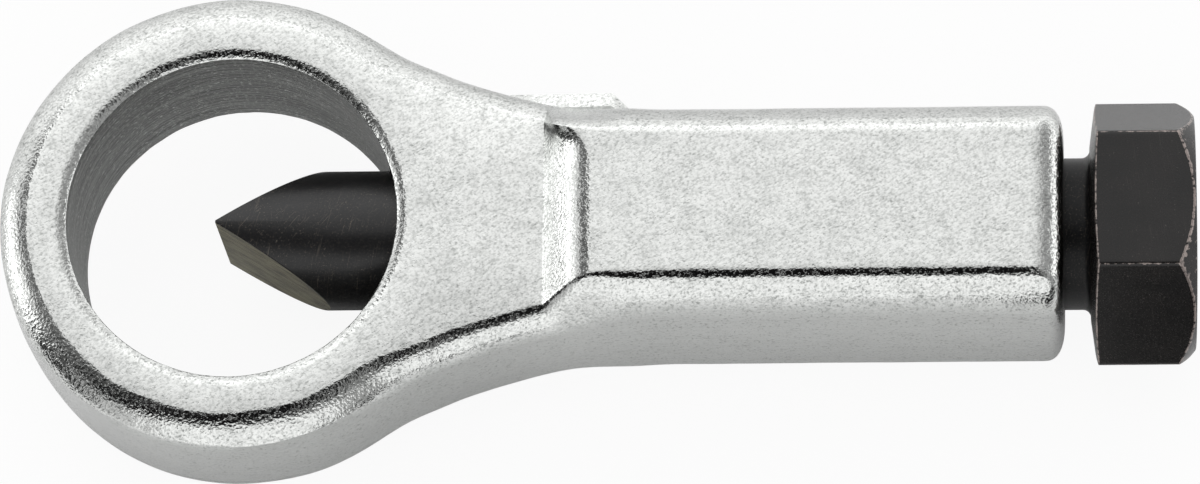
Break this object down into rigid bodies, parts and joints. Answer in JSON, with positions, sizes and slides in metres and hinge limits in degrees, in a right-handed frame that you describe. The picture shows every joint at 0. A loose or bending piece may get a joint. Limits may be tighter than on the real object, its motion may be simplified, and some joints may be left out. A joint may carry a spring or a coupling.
{
  "type": "nut splitter",
  "caption": "Ring-end nut splitter: a forged ring and handle with a round chisel that a hexagon-headed screw drives across the ring into a seized nut.",
  "frame": {"origin": "centre of the ring's hole, on the ring's mid plane and on the chisel's axis", "axes": "+X along the chisel towards the hexagon head, +Z along the ring's hole out of the face in the picture, +Y towards the guide screw"},
  "size_m": [0.1202, 0.0472, 0.0256],
  "materials": {
    "zinc_forging": "bright zinc plate on a tumbled forging",
    "black_chisel": "black oxide, ground edge",
    "black_screw": "black oxide, worn at the edges",
    "small_steel": "black oxide",
    "bright_steel": "polished hardened steel"
  },
  "bodies": {
    "forged_frame": {"body": "zinc_forging", "guide_screw": "small_steel"},
    "chisel_group": {"chisel": "black_chisel", "thrust_ball": "bright_steel"},
    "screw_group": {"spindle": "black_screw", "retaining_ring": "bright_steel"}
  },
  "joints": [
    {"name": "chisel_slide", "type": "slide", "parent": "forged_frame", "child": "chisel_group", "axis": [1, 0, 0], "range_m": [-0.0024, 0.0185]},
    {"name": "screw_turn", "type": "hinge", "parent": "chisel_group", "child": "screw_group", "pos_m": [0.09, 0, 0], "axis": [1, 0, 0], "range_deg": [-576, 4440]}
  ],
  "couplings": [
    {"joint": "screw_turn", "follows": "chisel_slide", "rad_per_m": 4188.8}
  ]
}
